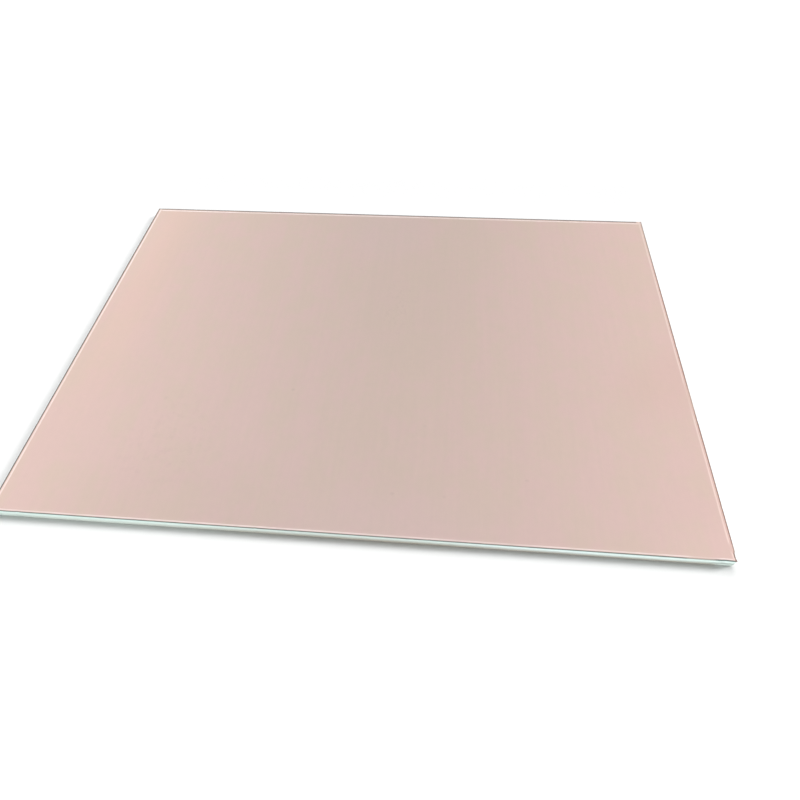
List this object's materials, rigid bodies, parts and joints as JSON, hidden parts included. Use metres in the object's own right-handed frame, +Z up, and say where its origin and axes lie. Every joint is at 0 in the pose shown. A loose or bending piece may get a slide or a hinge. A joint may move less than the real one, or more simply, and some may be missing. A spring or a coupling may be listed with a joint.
{
  "type": "copper clad board",
  "caption": "Flat rectangular blank of glass-epoxy laminate with copper foil bonded over its whole upper face, ready to be etched or milled into a printed circuit.",
  "frame": {"origin": "centre of the bare underside, on the surface the board lies on", "axes": "+X along the length, +Y across the width to the back, +Z up out of the copper face"},
  "size_m": [0.1, 0.07, 0.0016],
  "materials": {
    "laminate": "pale mint glass-epoxy laminate, satin, with its plies showing on the cut edges",
    "copper": "bare copper foil, pale rose, satin, lightly brushed, with a bright rolled rim"
  },
  "bodies": {
    "root": {"laminate_core": "laminate", "copper_foil": "copper"}
  },
  "joints": []
}
